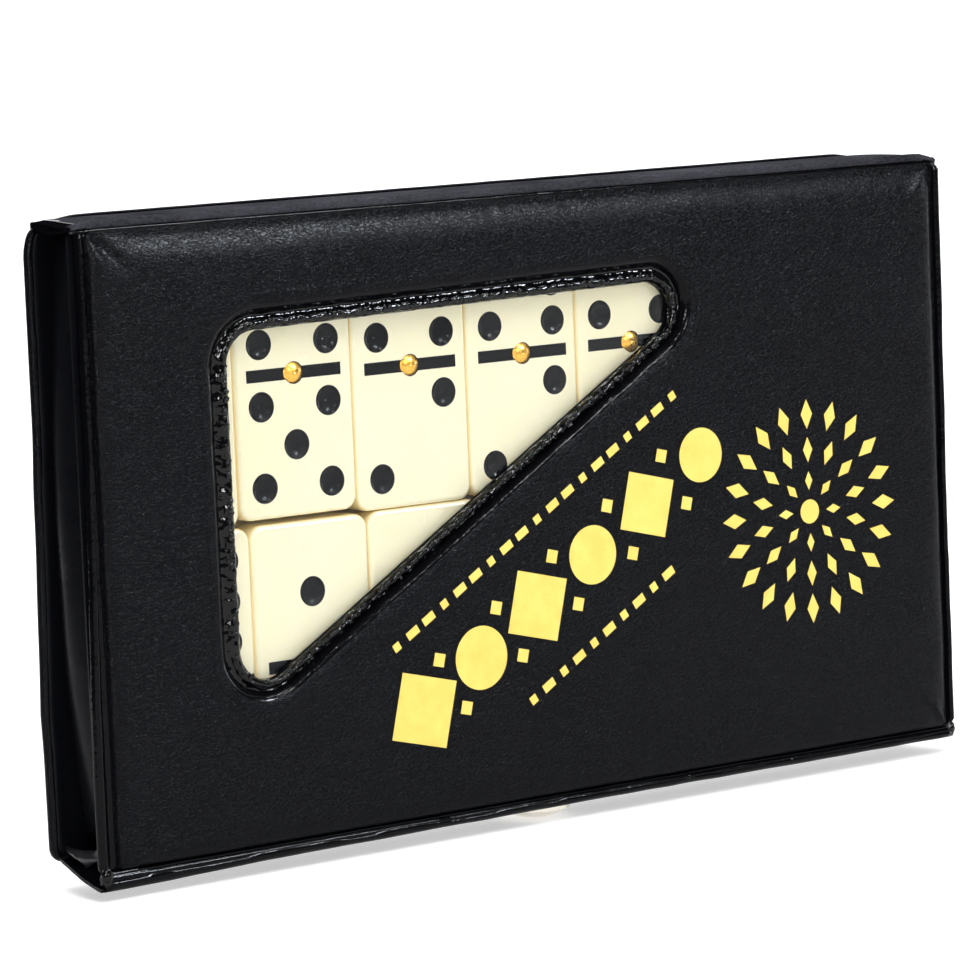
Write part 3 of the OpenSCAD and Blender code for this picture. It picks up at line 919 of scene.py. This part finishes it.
for name, sec, a, b, s, e in (
    ("top_back_fold", back_fold, "case", "spine", (HA[0] - 1.2, HA[1]), (HA[0] + 0.5, HA[1])),
    ("top_front_seam", front_seam, "spine", "cover", (HB[0] + 0.3, HB[1]), (HB[0] - 1.1, HB[1])),
    ("lower_fold", low_fold, "cover", "flap", (1.9, 16.4), (0.2, 16.2)),
):
    left, right = {"top_back_fold": (3.6, 3.4), "top_front_seam": (1.0, -0.5)}.get(name, (0.9, 0.2))
    wob = 0.1 if name == "lower_fold" else 0.05
    o = strip(name, sec, ["scuff_and_painted_sheen", "rim"], -W / 2 + left, W / 2 - right, wob=wob)
    # The back fold and the upper part of the front seam get the lighter vinyl with painted sheen;
    # the rest of each strip gets the glossy rim vinyl.
    for p in o.data.polygons:
        y = back(p.center).y
        scuff_and_painted_sheen = name == "top_back_fold" or (name == "top_front_seam" and y > 106.75)
        p.material_index = 0 if scuff_and_painted_sheen else 1
    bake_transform(o)


# ---------------------------------------------------------------- flap
FLAP_Z = (2.45, 16.35)


def flap_y(x, z, up):
    """Height of the flap's outer face (up = 0) or inner face (up = 1)."""
    f = (z - FLAP_Z[0]) / (FLAP_Z[1] - FLAP_Z[0])
    e = min(x + W / 2, W / 2 - x)
    t = 0.6 + 1.0 * ease((e - 1.2) / 2.2)
    base = lift(x) * max(1 - f, 0) ** 1.2 - sag(x) * max(f, 0) ** 1.5
    return base + t * up + 0.03 * nz(x, z, up, 0.2)


def build_flap(name, x0, x1, z0, z1, d0, d1, mats, step=1.0):
    """A slab that follows the flap. d0 and d1 run from the outer face to the inner."""
    bm = bmesh.new()
    n = max(int((x1 - x0) / step), 2)
    m = 14
    rows = []
    for k in range(n + 1):
        x = x0 + (x1 - x0) * k / n
        pts = []
        for i in range(m + 1):
            z = z0 + (z1 - z0) * i / m
            pts.append((x, z, d0))
        for i in range(m, -1, -1):
            z = z0 + (z1 - z0) * i / m
            pts.append((x, z, d1))
        row = []
        for px, z, d in pts:
            tip = min(max((z - z0) / 0.8, 0.0), 1.0)
            mid = (d0 + d1) / 2
            dd = mid + (d - mid) * math.sqrt(max(1 - (1 - tip) ** 2, 0.02))
            lo_y, hi_y = flap_y(px, z, 0), flap_y(px, z, 1)
            cut = 1.3 * max(1 - (z - FLAP_Z[0]) / 9, 0) * math.exp(-((px + W / 2) / 5) ** 2)
            row.append(bm.verts.new(L(px + cut, lo_y + (hi_y - lo_y) * dd, z)))
        rows.append(row)
    loft(bm, rows, caps=True)
    return finish_mesh(name, bm, mats, 50)


def flap_pieces():
    skin = build_flap("flap_wrap", -W / 2, W / 2, FLAP_Z[0], 16.9, 0.0, 1.0, ["grain"])
    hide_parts("flap_skin", "flap_lining")
    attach(skin, "flap")
    core = build_flap("flap_core", -W / 2 + 2.4, W / 2 - 2.6, 3.3, 15.9, 0.3, 0.75, ["board"])
    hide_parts("flap_board")
    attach(core, "flap")


flap_pieces()


def end_tuck():
    """The loose, ragged end of the tray's vinyl tucked in at the lower left corner."""
    bm = bmesh.new()
    top = [(2.3, 4.5), (4.0, 4.4), (6.0, 4.5), (8.0, 4.5), (10.5, 4.7), (13.2, 5.2)]
    low = [(2.6, 3.6), (4.2, 3.2), (6.2, 2.75), (7.6, 2.55),
           (9.3, 1.6), (10.6, 2.4), (12.0, 3.0), (13.0, 4.0)]

    def at(line, t):
        k = t * (len(line) - 1)
        i = min(int(k), len(line) - 2)
        a, b = line[i], line[i + 1]
        f = k - i
        return a[0] + (b[0] - a[0]) * f, a[1] + (b[1] - a[1]) * f

    rows = []
    for k in range(33):
        t = k / 32
        (za, ya), (zb, yb) = at(top, t), at(low, t)
        row = []
        for i in range(9):
            v = i / 8
            bulge = 1.6 * math.sin(math.pi * (0.15 + 0.7 * v))
            bulge *= math.sin(math.pi * min(t + 0.08, 1.0))
            x = -W / 2 + 3.0 - bulge + 0.25 * nz(t * 6, v * 3, 4, 1.0)
            row.append(bm.verts.new(L(x, ya + (yb - ya) * v, za + (zb - za) * v)))
        rows.append(row)
    loft(bm, rows, closed=False)
    o = finish_mesh("end_tuck", bm, ["tuck"], 80)
    m = o.modifiers.new("thick", "SOLIDIFY")
    m.thickness = 0.00025
    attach(o, "case")


end_tuck()


def corner_knot(name, x, y, z, r, seed):
    """A lump of melted vinyl where the rim meets the lower fold."""
    bm = bmesh.new()
    bmesh.ops.create_icosphere(bm, subdivisions=4, radius=1.0)
    for v in bm.verts:
        p = v.co.copy()
        k = 1 + 0.22 * noise.noise(p * 1.6 + Vector((seed, 0, 0)))
        k += 0.05 * noise.noise(p * 5 + Vector((0, seed, 0)))
        v.co = L(x + p.x * r[0] * k, y + p.y * r[1] * k, z + p.z * r[2] * k)
    o = finish_mesh(name, bm, ["weld"], 80)
    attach(o, "cover")


corner_knot("corner_knot_left", -W / 2 + 1.4, 1.0, 16.5, (1.25, 1.9, 1.0), 3.0)
corner_knot("corner_knot_right", W / 2 - 0.4, 1.5, 16.45, (1.2, 1.2, 0.9), 8.0)


# ---------------------------------------------------------------- back cover
BACK_Y = 2.6
PULL = [
    (0, -0.25), (18, -0.2), (40, 0.4), (58, 0.75), (76, 1.25),
    (93, 1.3), (102, 1.3), (106, 2.0), (108.2, 3.2),
]


def side_pull(y):
    """The back cover's welded edge wanders in towards the top."""
    for (a, p), (b, q) in zip(PULL, PULL[1:]):
        if y <= b:
            return p + (q - p) * ease((y - a) / (b - a))
    return PULL[-1][1]


def back_loop(d, step=1.5):
    x1 = W / 2 - d
    y0, y1 = BACK_Y - 0.85 + d, TOP_Y + 0.85 - d * 0.3
    r = max(2.4 - d * 0.5, 0.7)
    nx, ny = int(W / step), int(H / step)
    pts = []
    sides = [(x1, y0, x1, y1, ny), (x1, y1, -x1, y1, nx),
             (-x1, y1, -x1, y0, ny), (-x1, y0, x1, y0, nx)]
    corners = [(x1 - r, y1 - r, 0), (r - x1, y1 - r, 90),
               (r - x1, y0 + r, 180), (x1 - r, y0 + r, 270)]
    for (ax, ay, bx, by, n), (cx, cy, a0) in zip(sides, corners):
        length = math.hypot(bx - ax, by - ay)
        for k in range(n + 1):
            t = (r + (length - 2 * r) * k / n) / length
            pts.append((ax + (bx - ax) * t, ay + (by - ay) * t))
        for k in range(1, 6):
            a = math.radians(a0 + 15 * k)
            pts.append((cx + r * math.cos(a), cy + r * math.sin(a)))
    low = BACK_Y - 0.85
    out = []
    for x, y in pts:
        share = 1.0 if x < 0 else 0.6
        fade = ease((abs(x) - W / 2 + 14) / 12)
        nx_ = x - math.copysign(side_pull(y) * share * fade, x)
        near_low = math.exp(-max(y - low, 0) / 3)
        up = 0.75 * near_low * (1 - ease((abs(x) - W / 2 + 22) / 20))
        out.append((nx_ + 0.12 * nz(x, y, 2, 0.06), y + up))
    return out


def build_back():
    """Grained vinyl over the back board, with a pressed rim, and the smooth lining inside."""
    prof = [(6.0, 0.02), (4.6, 0.03), (3.9, 0.12), (3.4, 0.32), (2.9, 0.42),
            (2.4, 0.34), (1.7, 0.12), (1.0, 0.1), (0.4, 0.4), (0.05, 0.95),
            (0.0, 1.3), (0.1, 1.75), (0.5, 2.15), (1.1, 2.25)]
    bm = bmesh.new()
    rings = []
    for d, z in prof:
        rings.append([bm.verts.new(L(x, y, z + 0.05 * nz(x, y, d, 0.2))) for x, y in back_loop(d)])
    for i in range(len(rings) - 1):
        bridge(bm, rings[i], rings[i + 1], 1 if 0.1 < prof[i][0] < 3.3 else 0)
    bm.faces.new(rings[0])
    o = finish_mesh("back_wrap", bm, ["grain", "rim"], 60)
    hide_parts("back_skin")
    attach(o, "case")
    bm = bmesh.new()
    rings = []
    for d, z in ((1.0, 2.2), (1.3, 2.42), (1.9, 2.5), (2.6, 2.38), (3.4, 2.36)):
        rings.append([bm.verts.new(L(x, y, z + 0.03 * nz(x, y, 5, 0.3))) for x, y in back_loop(d)])
    loft(bm, rings)
    bm.faces.new(rings[-1])
    o = finish_mesh("back_liner", bm, ["gloss"], 60)
    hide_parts("back_lining")
    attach(o, "case")


build_back()


# ---------------------------------------------------------------- tray wrap
def tray_loop(inset, r, step=2.0):
    x0, y0, x1, y1 = TRAY
    x0, y0, x1, y1 = x0 + inset, y0 + inset, x1 - inset, y1 - inset
    pts = []
    for ax, ay, bx, by, cx, cy, a0 in (
        (x1, y0 + r, x1, y1 - r, x1 - r, y1 - r, 0),
        (x1 - r, y1, x0 + r, y1, x0 + r, y1 - r, 90),
        (x0, y1 - r, x0, y0 + r, x0 + r, y0 + r, 180),
        (x0 + r, y0, x1 - r, y0, x1 - r, y0 + r, 270),
    ):
        length = TRAY[2] - TRAY[0] if a0 in (90, 270) else TRAY[3] - TRAY[1]
        n = max(int(length / step), 4)
        for k in range(n + 1):
            pts.append((ax + (bx - ax) * k / n, ay + (by - ay) * k / n, a0))
        for k in range(1, 5):
            a = math.radians(a0 + 18 * k)
            pts.append((cx + r * math.cos(a), cy + r * math.sin(a), -1))
    return pts


def build_tray():
    """The smooth vinyl round the tray walls, loose and bulging on the two ends."""
    bm = bmesh.new()
    z0, z1 = TRAY_Z
    rows = []
    sec = [(0, z0 + (z1 - 0.3 - z0) * k / 12, 1) for k in range(13)]
    sec += [(0.12, z1 - 0.08, 0), (0.4, z1, 0), (1.3, z1, 0), (1.58, z1 - 0.08, 0)]
    sec += [(1.68, z1 - 0.4, 0), (1.7, 9, 0), (1.7, z0, 0)]
    for inset, z, outer in sec:
        row = []
        for x, y, side in tray_loop(inset, max(2.2 - inset, 0.8)):
            if outer and side in (0, 180):
                t = (z - z0) / (z1 - z0)
                u = (y - TRAY[1]) / (TRAY[3] - TRAY[1])
                u = min(max(u, 0.0), 1.0)
                b = TRAY_BULGE * math.sin(math.pi * min(max(t, 0), 1)) ** 0.6
                b *= math.sin(math.pi * u) ** 0.75
                b *= 0.93 + 0.1 * nz(side, y, z * 0.4, 0.05)
                x += b if side == 0 else -b
            row.append(bm.verts.new(L(x, y, z)))
        rows.append(row)
    loft(bm, rows)
    o = finish_mesh("tray_wrap", bm, ["gloss"], 50)
    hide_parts("tray_vinyl")
    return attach(o, "case")


build_tray()


# ---------------------------------------------------------------- spine
def spine_pull(z):
    """How far the spine's ends are drawn in, most at the back fold."""
    return 3.0 * (1 - min(max((z - HA[1]) / (HB[1] - HA[1]), 0.0), 1.0)) ** 1.4


def build_spine():
    """The spine's outer vinyl: two welded edges at each end, slack in the middle."""
    bm = bmesh.new()
    xs = []
    right = W / 2 + 0.8
    x = -W / 2
    while x < right - 0.01:
        xs.append(x)
        e = min(x + W / 2, right - x)
        x += 0.25 if e < 3 else (0.8 if e < 10 else 2.0)
    xs.append(right)
    rows = []
    for x in xs:
        e = min(x + W / 2, right - x)
        near = math.exp(-(e / 6) ** 2)
        rim = math.exp(-((e - 0.8) / 0.9) ** 2)
        web = math.exp(-((e - 2.4) / 0.6) ** 2) * (x > 0)
        edge = 0.9 if x > 0 else 0.25
        round_off = 1 - (max(edge - e, 0) / edge) ** 2 * (0.75 if x > 0 else 0.3)
        row = []
        n = 14
        for k in range(n + 1):
            t = k / n
            z = HA[1] + 0.3 + (HB[1] - HA[1] - 0.9) * t
            bow = math.sin(math.pi * t)
            up = 107.75 + 0.38 * bow * (1 - near) - 0.2 * web + 0.1 * rim
            up += 0.05 * nz(x, t * 8, 0, 0.1)
            tip = math.exp(-((e / 2.0) ** 2))
            up -= tip * (0.1 + 0.3 * max(1 - 2.5 * t, 0)) + end_droop(x) * t
            up = HA[0] + (up - HA[0]) * round_off
            row.append((up, z))
        for k in range(n, -1, -1):
            t = k / n
            z = HA[1] + 0.3 + (HB[1] - HA[1] - 0.9) * t
            dn = 106.4 + 0.2 * web - 0.7 * rim * math.sin(math.pi * t)
            dn = HA[0] + (dn - HA[0]) * round_off
            row.append((dn, z))
        rows.append([
            bm.verts.new(L(x - math.copysign(spine_pull(z) * near, x), y, z)) for y, z in row
        ])
    loft(bm, rows, caps=True)
    o = finish_mesh("spine_wrap", bm, ["scuff_and_painted_sheen", "rim", "dull"], 50)
    # Faces keep the lighter vinyl with painted sheen along the top, except the left end's dull
    # faces, a thin glossy rim strip beside them, the right end and the underside.
    for p in o.data.polygons:
        c = back(p.center)
        pull = spine_pull(c.z)
        if c.x < pull + 2.6 - W / 2:
            p.material_index = 2
        elif c.x < pull + 3.0 - W / 2 or c.x > W / 2 - 0.4 - pull or c.y < HA[0]:
            p.material_index = 1
    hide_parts("spine_skin")
    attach(o, "spine")
    bm = bmesh.new()
    rings = []
    for x, r in ((-W / 2 + 6.6, 0.3), (-W / 2 + 6.9, 0), (W / 2 - 4.9, 0), (W / 2 - 4.6, 0.3)):
        y0, y1, z0, z1 = 106.62 + r / 2, 107.6 - r / 2, 2.5 + r, 15.2 - r
        corners = ((y0, z0), (y1, z0), (y1, z1), (y0, z1))
        rings.append([bm.verts.new(L(x, y, z)) for y, z in corners])
    loft(bm, rings, caps=True)
    core = finish_mesh("spine_core", bm, ["board"], 30)
    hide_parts("spine_board")
    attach(core, "spine")


build_spine()


# ---------------------------------------------------------------- printed design
def shape(name, outlines):
    """Flat printed shapes on the padded face. Outlines are (x, y) from its lower left."""
    bm = bmesh.new()
    for pts in outlines:
        vs = [bm.verts.new(L(x - W / 2, y, PAD_Z + 0.06)) for x, y in pts]
        bm.faces.new(vs)
    bmesh.ops.triangulate(bm, faces=bm.faces)
    o = finish_mesh(name, bm, ["ink"])
    for p in o.data.polygons:
        if p.normal.y > 0:
            p.flip()
    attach(o, "cover")
    return o


def placed(cx, cy, pts, tilt):
    """Points turned by tilt degrees and moved to (cx, cy)."""
    c, s = math.cos(math.radians(tilt)), math.sin(math.radians(tilt))
    return [(cx + x * c - y * s, cy + x * s + y * c) for x, y in pts]


def ngon(cx, cy, r, n, squash=1.0, tilt=0.0):
    angles = [2 * math.pi * k / n for k in range(n)]
    return placed(cx, cy, [(r * math.cos(a), r * math.sin(a) * squash) for a in angles], tilt)


def bar(cx, cy, w, h, tilt):
    pts = [(-w / 2, -h / 2), (w / 2, -h / 2), (w / 2, h / 2), (-w / 2, h / 2)]
    return placed(cx, cy, pts, tilt)


def build_print():
    tilt = 31.0
    u = Vector((math.cos(math.radians(tilt)), math.sin(math.radians(tilt))))
    v = Vector((-u.y, u.x))
    start = Vector((60.0, 17.2))
    bold = []
    for k in range(6):
        c = start + u * (6.5 + 14.6 * k)
        size = 1.0 - 0.03 * k
        if k % 2 == 0:
            bold.append(ngon(c.x, c.y, 8.2 * size, 4, tilt=tilt))
        else:
            bold.append(ngon(c.x, c.y, 5.7 * size, 40))
    for k in range(5):
        c = start + u * (13.8 + 14.6 * k)
        for side in (1, -1):
            p = c + v * 5.2 * side
            bold.append(ngon(p.x, p.y, 1.6, 4, tilt=tilt))
    shape("print_bold_row", bold)
    fine = []
    for k in range(19):
        c = start + u * (8.0 + 4.0 * k) + v * 12.5
        fine.append(bar(c.x, c.y, 2.7 if k % 3 else 1.5, 1.5, tilt))
    for k in range(10):
        c = start + u * (26.0 + 4.0 * k) - v * 13.0
        fine.append(bar(c.x, c.y, 2.7 if k % 2 else 1.5, 1.6, tilt))
    shape("print_fine_rows", fine)
    rose = []
    cx, cy = 153.0, 45.5
    petals = ((5.6, 8, 3.4, 1.7), (11.2, 14, 4.6, 2.2), (17.6, 20, 5.4, 2.7))
    for i, (r, n, long, wide) in enumerate(petals):
        for j in range(n):
            a = 360.0 * (j + 0.5 * (i % 2)) / n
            x, y = cx + r * math.cos(math.radians(a)), cy + r * math.sin(math.radians(a))
            rose.append(ngon(x, y, long / 2, 4, wide / long, a))
    rose.append(ngon(cx, cy, 2.2, 24))
    shape("print_rosette", rose)


build_print()


# ---------------------------------------------------------------- stage and light
def sheet(name, a, b):
    """A sheet of the stage between two rows of points, in metres."""
    bm = bmesh.new()
    a, b = [bm.verts.new(p) for p in a], [bm.verts.new(p) for p in b]
    bridge(bm, a, b, 0, closed=False)
    return mesh_object(name, bm)


def build_stage():
    """A white floor that curves up into a backdrop, and a dark card beside the case."""
    sweep = [math.radians(a) for a in range(10, 91, 10)]
    pts = [(-1.2, 0.0), (0.55, 0.0)]
    pts += [(0.55 + 0.3 * math.sin(a), 0.3 - 0.3 * math.cos(a)) for a in sweep]
    pts += [(0.85, 1.8)]
    o = sheet("floor", [(-2.2, y, z) for y, z in pts], [(2.2, y, z) for y, z in pts])
    o.rotation_euler = (0, 0, math.radians(-37))
    m, nt, s = new_mat(
        "floor_white", Base_Color=(0.7, 0.7, 0.7, 1), Roughness=0.85,
        Specular_IOR_Level=0.1, Emission_Color=(1, 1, 1, 1), Emission_Strength=0.5,
    )
    vary(nt, s, "Base Color", coords(nt), (3.0, 2.0), [(0.3, 0.69), (0.7, 0.71)])
    o.data.materials.append(m)
    for p in o.data.polygons:
        p.use_smooth = True
    pts = [(-0.29, -0.12), (-0.31, 0.2), (-0.27, 0.42), (-0.18, 0.55)]
    o = sheet("dark_card", [(x, y, 0.0) for x, y in pts], [(x, y, 0.7) for x, y in pts])
    o.visible_camera = o.visible_diffuse = o.visible_shadow = o.visible_transmission = False
    m, nt, s = new_mat("card_black", Base_Color=(0.01, 0.01, 0.01, 1), Roughness=0.9)
    vary(nt, s, "Base Color", coords(nt), (5.0, 2.0), [(0.3, 0.008), (0.7, 0.012)])
    o.data.materials.append(m)


def area(name, loc, target, size, power, kind="both", color=(1, 1, 1)):
    """An area light. A soft one gives no highlight, a shine one gives only highlights."""
    d = bpy.data.lights.new(name, "AREA")
    d.shape = "RECTANGLE"
    d.size, d.size_y = size
    d.energy = power
    d.color = color
    o = new_object(name, d)
    o.location = loc
    o.rotation_mode = "QUATERNION"
    o.rotation_quaternion = (Vector(target) - Vector(loc)).to_track_quat("-Z", "Y")
    o.visible_glossy = kind != "soft"
    o.visible_diffuse = kind != "shine"
    return o


bpy.context.scene.view_settings.view_transform = "Standard"
build_stage()
SKY = (0.86, 0.92, 1.0)
area("key", (-0.35, -0.65, 1.2), (0, 0, 0.05), (0.9, 0.9), 16.6, "soft")
area("key_right", (0.45, -1.1, 0.5), (0, 0, 0.05), (0.6, 0.5), 2.3, "soft")
area("right_shine", (0.54, -0.78, 0.62), (0, 0, 0.07), (0.2, 0.12), 14.0, "shine", SKY)
area("rim_shine", (-0.82, -0.68, 0.42), (0, 0, 0.06), (0.2, 0.35), 10, "shine")
area("side_shine", (0.95, -0.12, 0.12), (0, 0, 0.05), (0.12, 0.3), 1.0, "shine", SKY)
area("left_shine", (-0.7, -0.02, 0.22), (0, 0, 0.06), (0.1, 0.4), 0.15, "shine")
area("backdrop_light", (0.4, 0.35, 1.3), (0.5, 0.9, 0.2), (1.2, 0.6), 12, "soft")
REACH = 1.1  # distance of the small glint lights, in metres
for i, (turn, up) in enumerate(((-22, 54), (-8, 24), (14, 46), (30, 66), (56, 60))):
    turn, up = math.radians(turn), math.radians(up)
    c = math.cos(up)
    spot = (REACH * c * math.sin(turn), -REACH * c * math.cos(turn), REACH * math.sin(up))
    area(f"glint_{i}", spot, (0, 0, 0.06), (0.12, 0.12), 3.0, "shine")

world = bpy.data.worlds.new("world")
bpy.context.scene.world = world
world.use_nodes = True
world.node_tree.nodes["Background"].inputs["Color"].default_value = (1, 1, 1, 1)
world.node_tree.nodes["Background"].inputs["Strength"].default_value = 0.1
